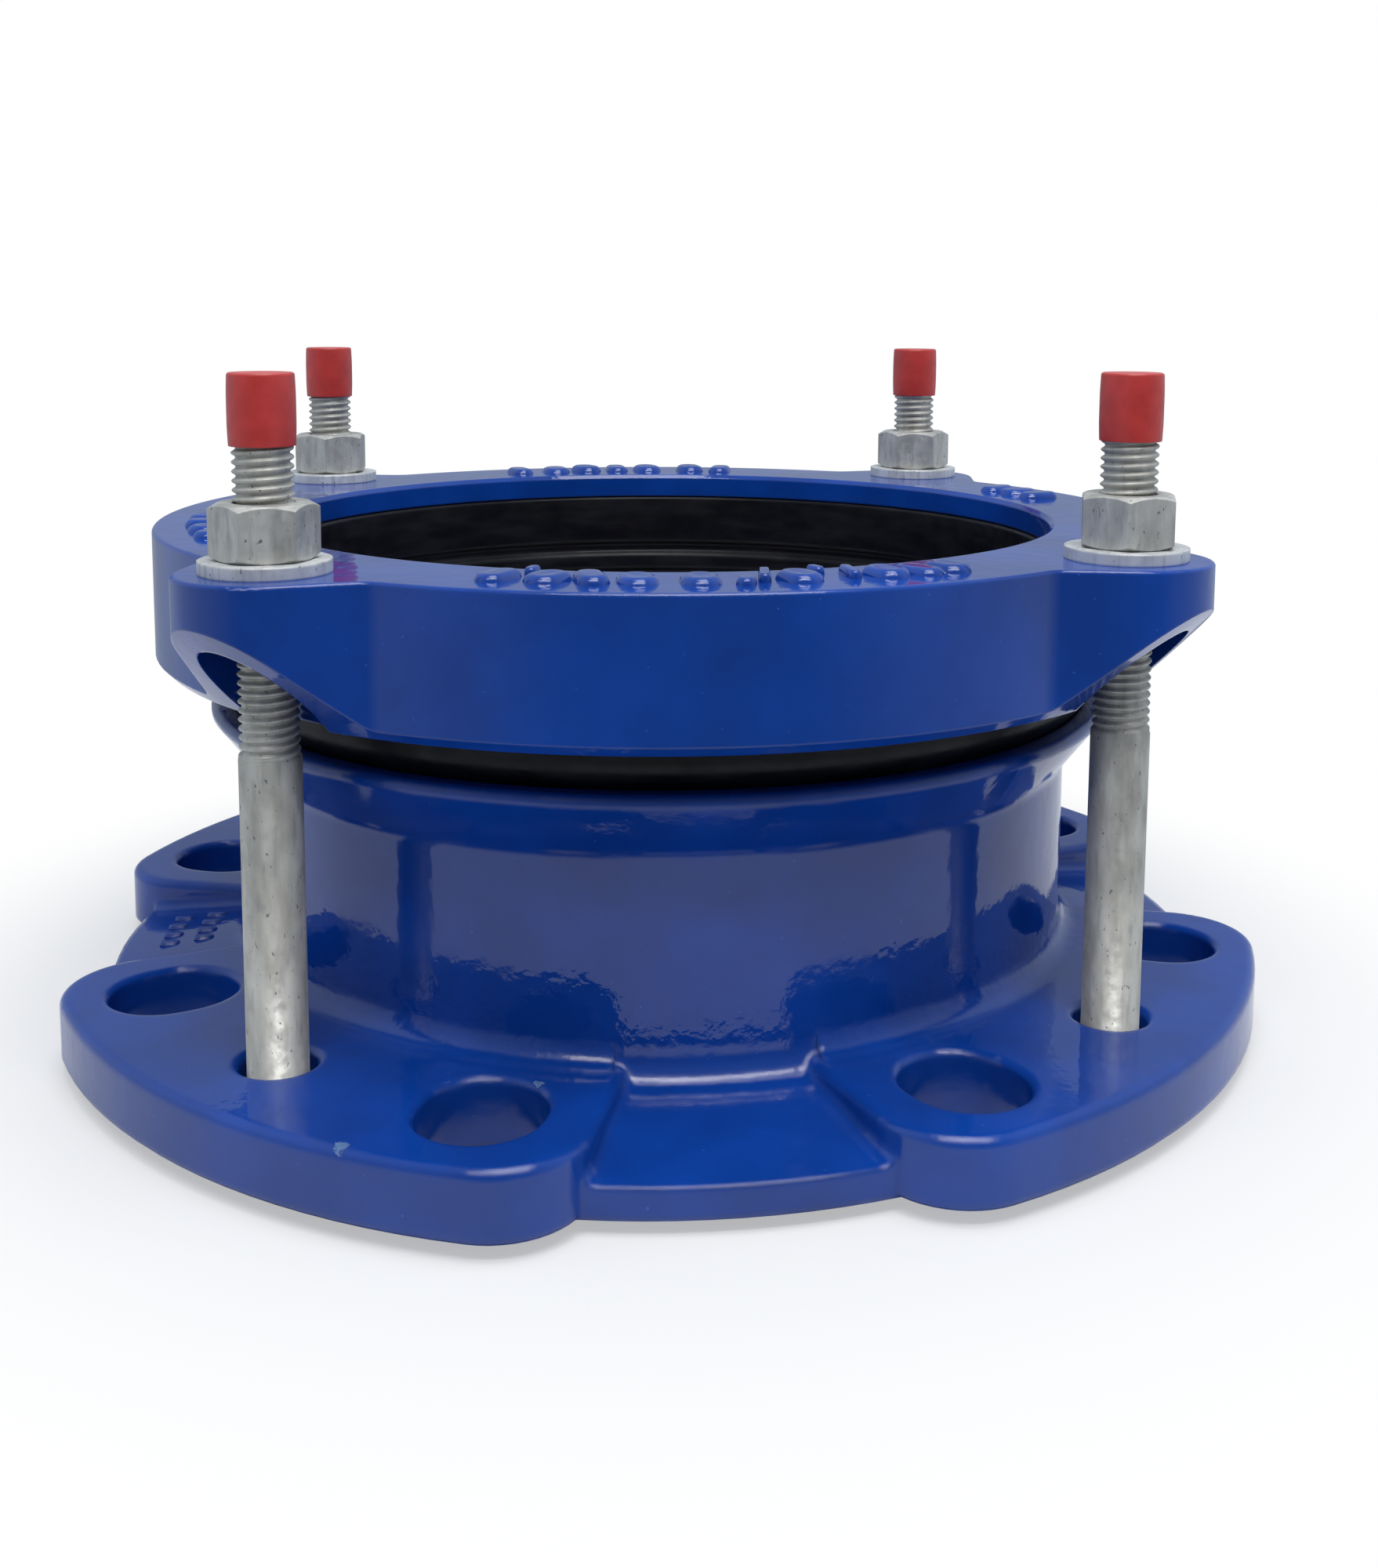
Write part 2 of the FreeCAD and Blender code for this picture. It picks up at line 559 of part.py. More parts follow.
ear_outline.addConstraint(Sketcher.Constraint("Coincident", 2, 2, 3, 1))
ear_outline.addConstraint(Sketcher.Constraint("Coincident", 0, 3, -1, 1))
tie(ear_outline, "Radius", (0,), "Sizes.ear_radius")
pin(ear_outline, 1, 2, ear_root, "Sizes.ear_root_half_width")
pin(ear_outline, 2, 2, ear_root, "-Sizes.ear_root_half_width")
ear = pad(gland, "ear", ear_outline, "Sizes.ring_height")
polar(gland, "ears", ear, len(CORNERS))
soften(gland, "ear_creases",
       lambda edge: upright(edge) and same(reach_of(edge), value(RING_R)),
       "Sizes.ear_crease_radius")
soften(gland, "ring_top_edges", lambda edge: level_arc(edge, RING_R, RING_TOP),
       "Sizes.ring_edge_radius")

# The underside of the ears rises to their tips from a bevel that runs all
# round the lower edge of the ring.
slope_profile = profile_sketch(gland, "ear_slope_profile")
slope_start = f"{RING_R} - Sizes.ring_lower_bevel"
slope_end = f"{TIE_R} + 2 * Sizes.ear_radius"
rise = f"({slope_end} - ({slope_start})) * tan(Sizes.ear_slope * 1 deg)"
outline(slope_profile, [
    (slope_start, RING_FLOOR),
    (slope_end, RING_FLOOR),
    (slope_end, f"{RING_FLOOR} + {rise}"),
])
groove(gland, "ear_slope", slope_profile)

# Each ear is cored from below: a round pocket with a flat back, which leaves
# the wall of the gasket cone whole, and a bolt hole in the plate above it.
pocket_outline = plan_sketch(gland, "ear_pocket_outline", RING_FLOOR, TIE_R, FIRST_CORNER)
pocket_r = value("Sizes.ear_radius - Sizes.ear_wall")
back_x = -value(POCKET_BACK)
back_left = FreeCAD.Vector(back_x, math.sqrt(pocket_r ** 2 - back_x ** 2), 0)
back_right = FreeCAD.Vector(back_x, -back_left.y, 0)
pocket_outline.addGeometry(arc_between(back_right, back_left, FreeCAD.Vector()))
pocket_outline.addGeometry(Part.LineSegment(back_left, back_right))
pocket_outline.addConstraint(Sketcher.Constraint("Coincident", 0, 2, 1, 1))
pocket_outline.addConstraint(Sketcher.Constraint("Coincident", 1, 2, 0, 1))
pocket_outline.addConstraint(Sketcher.Constraint("Coincident", 0, 3, -1, 1))
pocket_outline.addConstraint(Sketcher.Constraint("Vertical", 1))
tie(pocket_outline, "Radius", (0,), "Sizes.ear_radius - Sizes.ear_wall")
tie(pocket_outline, "DistanceX", (-1, 1, 1, 1), f"-{POCKET_BACK}")
ear_pocket = pocket(gland, "ear_pocket", pocket_outline, "Sizes.ring_height - Sizes.ear_plate",
                    True)
polar(gland, "ear_pockets", ear_pocket, len(CORNERS))
ear_hole_outline = plan_sketch(gland, "ear_hole_outline", RING_TOP, TIE_R, FIRST_CORNER)
circle(ear_hole_outline, "Sizes.ear_hole_diameter / 2")
ear_hole = pocket(gland, "ear_hole", ear_hole_outline, "Sizes.ring_height")
polar(gland, "ear_holes", ear_hole, len(CORNERS))

# Gasket
# One moulded rubber ring between the seat of the bell and the cone of the
# gland ring, with hollows inside that leave sealing ribs.
gasket = new_body("gasket")
gap = "Sizes.gasket_clearance"
seat_slope = "(Sizes.seat_widening / Sizes.seat_depth)"
cone_slope = f"(({MOUTH_R} - {LEDGE_R}) / (Sizes.ring_height - Sizes.lip_height))"
seat_gap = f"{gap} / cos(atan({seat_slope}))"
cone_gap = f"{gap} / cos(atan({cone_slope}))"
toe_rise = f"(Sizes.gasket_toe + {seat_gap}) / {seat_slope}"
toe_floor = f"{BELL_TOP} - Sizes.seat_depth + {toe_rise}"
revolve(gasket, "gasket_ring", [
    (BORE_R, toe_floor),
    (f"{BORE_R} + Sizes.gasket_toe", toe_floor),
    (f"{SEAT_R} - {seat_gap}", BELL_TOP),
    (f"{MOUTH_R} - {cone_gap}", f"{RING_FLOOR} - Sizes.gasket_shoulder"),
    (f"{MOUTH_R} - {cone_gap}", RING_FLOOR),
    (f"{LEDGE_R} - {cone_gap} + {cone_slope} * {gap}", f"{LEDGE} - {gap}"),
    (BORE_R, f"{LEDGE} - {gap}"),
])
rib_profile = profile_sketch(gasket, "rib_hollow_profile")
hollow_centre = f"{LEDGE} - Sizes.first_hollow"
hollow_floor_r = f"{BORE_R} + Sizes.rib_hollow_depth"
outline(rib_profile, [
    (BORE_R, f"{hollow_centre} - Sizes.rib_hollow_mouth / 2"),
    (hollow_floor_r, f"{hollow_centre} - Sizes.rib_hollow_floor / 2"),
    (hollow_floor_r, f"{hollow_centre} + Sizes.rib_hollow_floor / 2"),
    (BORE_R, f"{hollow_centre} + Sizes.rib_hollow_mouth / 2"),
])
rib_hollow = groove(gasket, "rib_hollow", rib_profile)
ribs = gasket.newObject("PartDesign::LinearPattern", "rib_hollows")
ribs.Originals = [rib_hollow]
ribs.Direction = (origin_part(gasket, "Z_Axis"), [""])
ribs.Reversed = True
ribs.setExpression("Occurrences", "Sizes.rib_hollow_count")
ribs.setExpression("Length", "Sizes.rib_pitch * (Sizes.rib_hollow_count - 1)")
gasket.Tip = ribs
settle(ribs)


def stand_at(body, corner, turn="0"):
    """Move a fastener from the pipe axis to its own tie bolt."""
    angle = FIRST_CORNER + CORNERS.index(corner) * 360 / len(CORNERS)
    body.Placement = FreeCAD.Placement(FreeCAD.Vector(), FreeCAD.Rotation(UP, angle))
    body.setExpression("Placement.Base.x", f"{TIE_R} * cos({angle} deg)")
    body.setExpression("Placement.Base.y", f"{TIE_R} * sin({angle} deg)")
    body.setExpression("Placement.Rotation.Angle", f"({angle} + {turn}) * 1 deg")
    doc.recompute()


def bevel_hexagon(body, name, across_flats, face, inward):
    """Turn the corners of a hexagon down towards one face, to clear the flats."""
    profile = profile_sketch(body, name + "_profile")
    land = f"{across_flats} / 2 - Sizes.hexagon_land"
    drop = f"({across_flats} - ({land})) * tan(Sizes.hexagon_bevel * 1 deg)"
    outline(profile, [
        (land, face),
        (across_flats, face),
        (across_flats, f"{face} {inward} {drop}"),
    ])
    groove(body, name, profile)


def tie_bolt(corner):
    """A steel hexagon bolt, head down in the flange, threaded half its length."""
    body = new_body("tie_bolt_" + corner)
    shank_r = "Sizes.bolt_diameter / 2"
    thread_r = "Sizes.thread_diameter / 2"
    thread_start = f"{BOLT_END} - Sizes.thread_length"
    revolve(body, "bolt_stem", [
        ("0", HEAD_FLOOR),
        (thread_r, HEAD_FLOOR),
        (thread_r, HEAD_SEAT),
        (shank_r, HEAD_SEAT),
        (shank_r, f"{thread_start} - Sizes.thread_runout"),
        (thread_r, thread_start),
        (thread_r, f"{BOLT_END} - Sizes.bolt_end_bevel"),
        (f"{thread_r} - Sizes.bolt_end_bevel", BOLT_END),
        ("0", BOLT_END),
    ])
    head_outline = plan_sketch(body, "head_outline", HEAD_FLOOR)
    hexagon(head_outline, "Sizes.head_across_flats")
    pad(body, "head", head_outline, "Sizes.head_height")
    bevel_hexagon(body, "head_bevel", "Sizes.head_across_flats", HEAD_FLOOR, "+")
    stand_at(body, corner)
    return body


def washer(corner):
    """A plain steel washer that lies on an ear."""
    body = new_body("washer_" + corner)
    disc = plan_sketch(body, "washer_outline", RING_TOP)
    circle(disc, "Sizes.washer_diameter / 2")
    circle(disc, "Sizes.washer_bore / 2")
    pad(body, "washer_disc", disc, "Sizes.washer_thickness")
    stand_at(body, corner)
    return body


def nut(corner):
    """A steel hexagon nut, bevelled on both faces, run down onto its washer."""
    body = new_body("nut_" + corner)
    nut_outline = plan_sketch(body, "nut_outline", NUT_FLOOR)
    hexagon(nut_outline, "Sizes.nut_across_flats")
    circle(nut_outline, "(Sizes.thread_diameter + Sizes.nut_play) / 2")
    pad(body, "nut_block", nut_outline, "Sizes.nut_height")
    bevel_hexagon(body, "top_bevel", "Sizes.nut_across_flats", NUT_TOP, "-")
    bevel_hexagon(body, "lower_bevel", "Sizes.nut_across_flats", NUT_FLOOR, "+")
    stand_at(body, corner, "Sizes.nut_turn_" + corner)
    return body


def thread_cap(corner):
    """A soft plastic cap pushed over the end of a bolt to guard the thread."""
    body = new_body("thread_cap_" + corner)
    cap_r = "Sizes.cap_diameter / 2"
    bore_r = "(Sizes.thread_diameter + Sizes.cap_play) / 2"
    revolve(body, "cap_shell", [
        (bore_r, CAP_FLOOR),
        (cap_r, CAP_FLOOR),
        (cap_r, f"{CAP_TOP} - Sizes.cap_edge"),
        (f"{cap_r} - Sizes.cap_edge", CAP_TOP),
        ("0", f"{CAP_TOP} - Sizes.cap_dish"),
        ("0", f"{CAP_TOP} - Sizes.cap_roof"),
        (bore_r, f"{CAP_TOP} - Sizes.cap_roof"),
    ])
    stand_at(body, corner)
    return body


# Fasteners
pieces = [adaptor, gland, gasket]
for corner in CORNERS:
    pieces += [tie_bolt(corner), washer(corner), nut(corner), thread_cap(corner)]

# Nothing is written unless every object and every piece is sound.
doc.recompute()
for item in doc.Objects:
    if "Invalid" in item.State or "Error" in item.State:
        raise RuntimeError(f"{item.Name} is {item.State}")
for piece in pieces:
    shape = piece.Shape
    if shape.isNull() or not shape.isValid() or len(shape.Solids) != 1:
        raise RuntimeError(f"{piece.Label} is not one sound solid")
for piece in pieces:
    piece.Shape.exportStep(f"parts/{piece.Label}.step")
    print(f"{piece.Label}: {piece.Shape.Volume / 1000:.1f} cm3")
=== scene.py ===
import math
import random

import bmesh
import bpy
from mathutils import Matrix, Vector


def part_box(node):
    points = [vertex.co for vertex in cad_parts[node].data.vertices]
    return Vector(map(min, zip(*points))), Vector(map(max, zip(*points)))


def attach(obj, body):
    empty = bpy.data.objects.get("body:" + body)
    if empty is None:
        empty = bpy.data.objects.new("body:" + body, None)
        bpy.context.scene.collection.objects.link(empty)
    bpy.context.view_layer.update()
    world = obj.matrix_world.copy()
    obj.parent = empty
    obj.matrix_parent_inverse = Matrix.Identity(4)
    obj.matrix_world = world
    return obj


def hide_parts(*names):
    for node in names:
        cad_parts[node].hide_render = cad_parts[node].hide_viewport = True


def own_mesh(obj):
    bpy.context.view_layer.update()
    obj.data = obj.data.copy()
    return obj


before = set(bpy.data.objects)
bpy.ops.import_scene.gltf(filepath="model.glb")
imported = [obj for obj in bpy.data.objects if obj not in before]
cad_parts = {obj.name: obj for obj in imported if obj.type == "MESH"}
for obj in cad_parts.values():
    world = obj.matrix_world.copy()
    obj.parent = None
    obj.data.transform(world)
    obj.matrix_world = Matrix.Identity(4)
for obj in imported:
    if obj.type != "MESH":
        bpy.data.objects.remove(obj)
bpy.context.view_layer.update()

MM = 0.001

# Body casting
# Ductile iron, cast in one piece with its flange, neck and bell, then dipped
# hot in blue epoxy powder. The coat has flowed out glossy and a little wavy,
# and is chipped on the edge of one lobe and on the rim of one slot.


def lay_node(tree, kind, **settings):
    """One shader node, with its properties and its unlinked inputs set."""
    made = tree.nodes.new(kind)
    for name, setting in settings.items():
        if hasattr(made, name):
            setattr(made, name, setting)
        else:
            made.inputs[name.replace("_", " ")].default_value = setting
    return made


def lay_arithmetic(tree, operation, first, second=None):
    """A Math node on two links or numbers. Its output is returned."""
    made = tree.nodes.new("ShaderNodeMath")
    made.operation = operation
    for socket, source in zip(made.inputs, (first, second)):
        if isinstance(source, (int, float)):
            socket.default_value = source
        elif source is not None:
            tree.links.new(source, socket)
    return made.outputs[0]


def lay_ramp(tree, source, low, high, from_value=0.0, to_value=1.0):
    """A smooth step of a link from one level to another."""
    made = tree.nodes.new("ShaderNodeMapRange")
    made.interpolation_type = "SMOOTHSTEP"
    tree.links.new(source, made.inputs["Value"])
    for name, level in (("From Min", low), ("From Max", high),
                        ("To Min", from_value), ("To Max", to_value)):
        made.inputs[name].default_value = level
    return made.outputs["Result"]


def lay_noise(tree, place, scale, detail=2.0, stretch=(1, 1, 1), roughness=0.5):
    """Noise in the object's own metres, drawn out along an axis by stretch."""
    mapping = lay_node(tree, "ShaderNodeMapping")
    mapping.inputs["Scale"].default_value = stretch
    tree.links.new(place, mapping.inputs["Vector"])
    made = lay_node(tree, "ShaderNodeTexNoise", Scale=scale, Detail=detail, Roughness=roughness)
    tree.links.new(mapping.outputs["Vector"], made.inputs["Vector"])
    return made.outputs["Fac"]


def lay_mix(tree, factor, first, second):
    """A colour mixed from two links or colours. Its output is returned."""
    made = tree.nodes.new("ShaderNodeMix")
    made.data_type = "RGBA"
    tree.links.new(factor, made.inputs["Factor"])
    for socket, source in ((made.inputs[6], first), (made.inputs[7], second)):
        if isinstance(source, tuple):
            socket.default_value = (*source, 1)
        else:
            tree.links.new(source, socket)
    return made.outputs[2]


def new_group(name, inputs, outputs):
    """An empty node group with its sockets. Returns it, its start and its end."""
    tree = bpy.data.node_groups.new(name, "ShaderNodeTree")
    for socket, kind, start in inputs:
        made = tree.interface.new_socket(socket, in_out="INPUT", socket_type=kind)
        if start is not None:
            made.default_value = start
    for socket, kind in outputs:
        tree.interface.new_socket(socket, in_out="OUTPUT", socket_type=kind)
    return tree, tree.nodes.new("NodeGroupInput"), tree.nodes.new("NodeGroupOutput")


def epoxy_flow_group():
    """Powder coat that has flowed: colour by its thickness, and its waves."""
    tree, start, end = new_group("epoxy_flow", [
        ("Place", "NodeSocketVector", None),
        ("Wrinkle", "NodeSocketFloat", 0.0),
    ], [("Color", "NodeSocketColor"), ("Roughness", "NodeSocketFloat"),
        ("Height", "NodeSocketFloat")])
    place = start.outputs["Place"]
    cloud = lay_ramp(tree, lay_noise(tree, place, 38, 3), 0.3, 0.7)
    colour = lay_mix(tree, cloud, (0.0033, 0.037, 0.235), (0.0042, 0.050, 0.315))
    specks = lay_ramp(tree, lay_noise(tree, place, 900, 1), 0.78, 0.81)
    tree.links.new(lay_mix(tree, specks, colour, (0.02, 0.09, 0.42)), end.inputs["Color"])
    haze = lay_noise(tree, place, 60, 5)
    tree.links.new(lay_ramp(tree, haze, 0.4, 0.7, 0.03, 0.11), end.inputs["Roughness"])
    waves = lay_arithmetic(tree, "MULTIPLY", lay_noise(tree, place, 55, 1), 0.36)
    ripples = lay_arithmetic(tree, "MULTIPLY", lay_noise(tree, place, 230, 2), 0.28)
    peel = lay_arithmetic(tree, "MULTIPLY", lay_noise(tree, place, 1100, 1), 0.02)
    wrinkles = lay_arithmetic(tree, "MULTIPLY", lay_noise(tree, place, 300, 3), 0.7)
    wrinkles = lay_arithmetic(tree, "MULTIPLY", wrinkles, start.outputs["Wrinkle"])
    height = lay_arithmetic(tree, "ADD", waves, ripples)
    height = lay_arithmetic(tree, "ADD", height, peel)
    tree.links.new(lay_arithmetic(tree, "ADD", height, wrinkles), end.inputs["Height"])
    return tree


def coat_chip_group():
    """A spot with a ragged rim where the coat has been knocked off."""
    tree, start, end = new_group("coat_chip", [
        ("Place", "NodeSocketVector", None),
        ("Centre", "NodeSocketVector", (0, 0, 0)),
        ("Radius", "NodeSocketFloat", 0.002),
    ], [("Mask", "NodeSocketFloat")])
    away = lay_node(tree, "ShaderNodeVectorMath", operation="DISTANCE")
    tree.links.new(start.outputs["Place"], away.inputs[0])
    tree.links.new(start.outputs["Centre"], away.inputs[1])
    rag = lay_arithmetic(tree, "MULTIPLY", lay_noise(tree, start.outputs["Place"], 700, 3), 0.0022)
    reach = lay_arithmetic(tree, "ADD", away.outputs["Value"], rag)
    over = lay_arithmetic(tree, "SUBTRACT", reach, start.outputs["Radius"])
    tree.links.new(lay_ramp(tree, over, 0.0008, 0.0014, 1, 0), end.inputs["Mask"])
    return tree


EPOXY_FLOW = epoxy_flow_group()
COAT_CHIP = coat_chip_group()


def epoxy_coat(name, edge_radius, chips=(), wrinkle_band=None):
    """Blue powder coat. A chip is (x, y, z, radius), and the band of heights is wrinkled."""
    material = bpy.data.materials.new(name)
    material.use_nodes = True
    tree = material.node_tree
    shader = tree.nodes["Principled BSDF"]
    place = lay_node(tree, "ShaderNodeTexCoord").outputs["Object"]
    flow = lay_node(tree, "ShaderNodeGroup", node_tree=EPOXY_FLOW)
    tree.links.new(place, flow.inputs["Place"])
    if wrinkle_band:
        low, high = wrinkle_band
        split = lay_node(tree, "ShaderNodeSeparateXYZ")
        tree.links.new(place, split.inputs[0])
        above = lay_ramp(tree, split.outputs["Z"], low - 3 * MM, low)
        below = lay_ramp(tree, split.outputs["Z"], low, high, 1, 0)
        tree.links.new(lay_arithmetic(tree, "MULTIPLY", above, below), flow.inputs["Wrinkle"])
    colour, roughness, height = (flow.outputs[key] for key in ("Color", "Roughness", "Height"))
    for x, y, z, radius in chips:
        chip = lay_node(tree, "ShaderNodeGroup", node_tree=COAT_CHIP,
                        Centre=(x, y, z), Radius=radius)
        tree.links.new(place, chip.inputs["Place"])
        bare = lay_noise(tree, place, 1500, 2)
        primer = lay_mix(tree, bare, (0.02, 0.07, 0.22), (0.12, 0.22, 0.40))
        colour = lay_mix(tree, chip.outputs["Mask"], colour, primer)
        dull = lay_arithmetic(tree, "MULTIPLY", chip.outputs["Mask"], 0.6)
        roughness = lay_arithmetic(tree, "MAXIMUM", roughness, dull)
        depth = lay_arithmetic(tree, "ADD", bare, 0.6)
        pit = lay_arithmetic(tree, "MULTIPLY", chip.outputs["Mask"], depth)
        height = lay_arithmetic(tree, "SUBTRACT", height, pit)
    corner = lay_node(tree, "ShaderNodeBevel", samples=6, Radius=edge_radius)
    bump = lay_node(tree, "ShaderNodeBump", Strength=1.0, Distance=0.25 * MM)
    tree.links.new(height, bump.inputs["Height"])
    tree.links.new(corner.outputs["Normal"], bump.inputs["Normal"])
    tree.links.new(bump.outputs["Normal"], shader.inputs["Normal"])
    tree.links.new(colour, shader.inputs["Base Color"])
    tree.links.new(roughness, shader.inputs["Roughness"])
    shader.inputs["IOR"].default_value = 1.52
    return material


def finish_node(node, material):
    """Give a carried CAD node its finish."""
    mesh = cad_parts[node].data
    mesh.materials.clear()
    mesh.materials.append(material)


LOBE_TOP = 17 * MM
LOBE_EDGE_CHIP = (-70.4 * MM, -121.7 * MM, 16.4 * MM, 1.3 * MM)
SLOT_RIM_CHIP = (-35.0 * MM, -101.8 * MM, LOBE_TOP, 0.8 * MM)
NECK_FOOT_WRINKLES = (LOBE_TOP + 3 * MM, LOBE_TOP + 26 * MM)
body_coat = epoxy_coat("blue_epoxy_body", 2 * MM, (LOBE_EDGE_CHIP, SLOT_RIM_CHIP),
                       NECK_FOOT_WRINKLES)
finish_node("adaptor_body", body_coat)

# The side of a cast boss from its foot up, each row with its share of the
# width, of the height and of the dimple.
BOSS_SIDE = ((1, 0, 0), (0.94, 0.4, 0), (0.82, 0.78, 0), (0.62, 1, 0), (0.35, 1, 0.6), (0.1, 1, 1))
BOSS_CORNERS = 24


def raise_boss(sheet, centre, turn, length, width, height, dimple=0.0):
    """An oval boss on a level face, rounded at its rim, with a dimple in its top."""
    along = Vector((math.cos(turn), math.sin(turn), 0))
    aside = Vector((-along.y, along.x, 0))
    half = (length - width) / 2
    rings = []
    for share, rise, dip in BOSS_SIDE:
        ring = []
        for corner in range(BOSS_CORNERS):
            angle = 2 * math.pi * (corner + 0.5) / BOSS_CORNERS
            spine = half if math.cos(angle) > 0 else -half
            reach = width / 2 * share
            out = along * (spine + reach * math.cos(angle))
            spot = centre + out + aside * (reach * math.sin(angle))
            up = Vector((0, 0, height * (rise - dip * dimple)))
            ring.append(sheet.verts.new(spot + up))
        rings.append(ring)
    for lower, upper in zip(rings, rings[1:]):
        join_rings(sheet, lower, upper)
    sheet.faces.new(rings[-1])


def join_rings(sheet, lower, upper, spans=None):
    """A band of faces between two rings of points, all round or over some spans."""
    for step in range(spans or len(lower)):
        following = (step + 1) % len(lower)
        sheet.faces.new((lower[step], lower[following], upper[following], upper[step]))


def close_piece(sheet, name, material, body, flat_below=-1.0):
    """Turn a bmesh into a piece that rides on a body, smooth above a height."""
    bmesh.ops.remove_doubles(sheet, verts=sheet.verts, dist=0.002 * MM)
    bmesh.ops.recalc_face_normals(sheet, faces=sheet.faces)
    mesh = bpy.data.meshes.new(name)
    sheet.to_mesh(mesh)
    sheet.free()
    for face in mesh.polygons:
        face.use_smooth = face.center.z > flat_below
    mesh.materials.append(material)
    piece = bpy.data.objects.new(name, mesh)
    bpy.context.scene.collection.objects.link(piece)
    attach(piece, body)
    return piece


# Foundry marks in the left bay of the flange
# Two rows of plain bars on the sloping web, cast with the body and softened by
# the coat.
WEB_RIM_R = 130.5 * MM
WEB_RIM_TOP = 9.2 * MM
WEB_FALL = math.tan(math.radians(7.5))
BAY_BEARING = 176.5
BAR_STEP = 2.7
BAR_LENGTH = 5 * MM
BAR_WIDTH = 2.4 * MM
BAR_HEIGHT = 0.8 * MM
BAR_SINK = 0.1 * MM
bay_marks = bmesh.new()
for reach in (111 * MM, 119 * MM):
    for count in range(4):
        bearing = math.radians(BAY_BEARING + (count - 1.5) * BAR_STEP)
        spot = Vector((math.cos(bearing) * reach, math.sin(bearing) * reach, 0))
        spot.z = WEB_RIM_TOP + (WEB_RIM_R - reach) * WEB_FALL - BAR_SINK
        raise_boss(bay_marks, spot, bearing, BAR_LENGTH, BAR_WIDTH, BAR_HEIGHT)
close_piece(bay_marks, "cast_marks_bay", body_coat, "flange_casting")

# Gasket
# A moulded ring of black rubber, squeezed between the seat of the bell and the
# cone of the gland ring, with sealing ribs round its bore.


def rubber():
    """Black rubber, greyer in level bands where it has bloomed."""
    material = bpy.data.materials.new("black_rubber")
    material.use_nodes = True
    tree = material.node_tree
    shader = tree.nodes["Principled BSDF"]
    place = lay_node(tree, "ShaderNodeTexCoord").outputs["Object"]
    bloom = lay_ramp(tree, lay_noise(tree, place, 60, 4, (1, 1, 5)), 0.35, 0.8)
    tree.links.new(lay_mix(tree, bloom, (0.004, 0.004, 0.006), (0.012, 0.012, 0.015)),
                   shader.inputs["Base Color"])
    tree.links.new(lay_ramp(tree, lay_noise(tree, place, 200, 3), 0.3, 0.7, 0.30, 0.46),
                   shader.inputs["Roughness"])
    shader.inputs["Specular IOR Level"].default_value = 0.16
    bump = lay_node(tree, "ShaderNodeBump", Strength=0.6, Distance=0.05 * MM)
    tree.links.new(lay_noise(tree, place, 700, 3), bump.inputs["Height"])
    tree.links.new(bump.outputs["Normal"], shader.inputs["Normal"])
    return material


EASE_STEPS = 5


def eased(corners, closed=True):
    """Points along an outline whose corners (r, z, ease) are rounded off."""
    points = []
    count = len(corners)
    for index, (r, z, ease) in enumerate(corners):
        here = Vector((r, z))
        if not ease or (not closed and index in (0, count - 1)):
            points.append(here)
            continue
        before = Vector(corners[index - 1][:2])
        after = Vector(corners[(index + 1) % count][:2])
        start = here + (before - here).normalized() * ease
        end = here + (after - here).normalized() * ease
        for step in range(EASE_STEPS + 1):
            part = step / EASE_STEPS
            points.append(start.lerp(here, part).lerp(here.lerp(end, part), part))
    return points


def turn_profile(sheet, points, steps, centre=(0, 0), closed=True):
    """Faces of a profile of (radius, height) turned about an upright axis."""
    rings = []
    for point in points:
        ring = []
        for step in range(steps):
            angle = 2 * math.pi * step / steps
            ring.append(sheet.verts.new((centre[0] + math.cos(angle) * point.x,
                                         centre[1] + math.sin(angle) * point.x, point.y)))
        rings.append(ring)
    for ring, following in zip(rings, rings[1:] + rings[:1] if closed else rings[1:]):
        join_rings(sheet, ring, following)


gasket_low, gasket_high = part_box("gasket")
BORE_R = 92 * MM
RIB_PITCH = 8 * MM
FIRST_HOLLOW = gasket_high[2] - 15.1 * MM
HOLLOW_COUNT = 4
HOLLOW_R = BORE_R + 1.5 * MM
HOLLOW_HALF_MOUTH = 2.2 * MM
HOLLOW_HALF_FLOOR = 0.9 * MM
GASKET_STEPS = 160
gasket_outline = [
    (BORE_R, gasket_low[2], 0.4 * MM),
    (93.5 * MM, gasket_low[2], 0.4 * MM),
    (101.65 * MM, 73.4 * MM, 1 * MM),
    (103.8 * MM, 77.4 * MM, 1.5 * MM),
    (104.0 * MM, 88.2 * MM, 0.5 * MM),
    (96.82 * MM, gasket_high[2], 0.5 * MM),
    (BORE_R, gasket_high[2], 0.8 * MM),
]
for hollow in range(HOLLOW_COUNT):
    middle = FIRST_HOLLOW - hollow * RIB_PITCH
    gasket_outline += [
        (BORE_R, middle + HOLLOW_HALF_MOUTH, 0.9 * MM),
        (HOLLOW_R, middle + HOLLOW_HALF_FLOOR, 0.7 * MM),
        (HOLLOW_R, middle - HOLLOW_HALF_FLOOR, 0.7 * MM),
        (BORE_R, middle - HOLLOW_HALF_MOUTH, 0.9 * MM),
    ]
gasket_sheet = bmesh.new()
turn_profile(gasket_sheet, eased(gasket_outline), GASKET_STEPS)
gasket = close_piece(gasket_sheet, "sealing_gasket", rubber(), "flange_casting")
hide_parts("gasket")
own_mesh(gasket)

# Gland ring
# A second ductile iron casting with four hollow ears, in the same blue coat,
# which has kept its edges sharper than those of the body.
ring_coat = epoxy_coat("blue_epoxy_ring", 0.6 * MM)
finish_node("gland_ring", ring_coat)

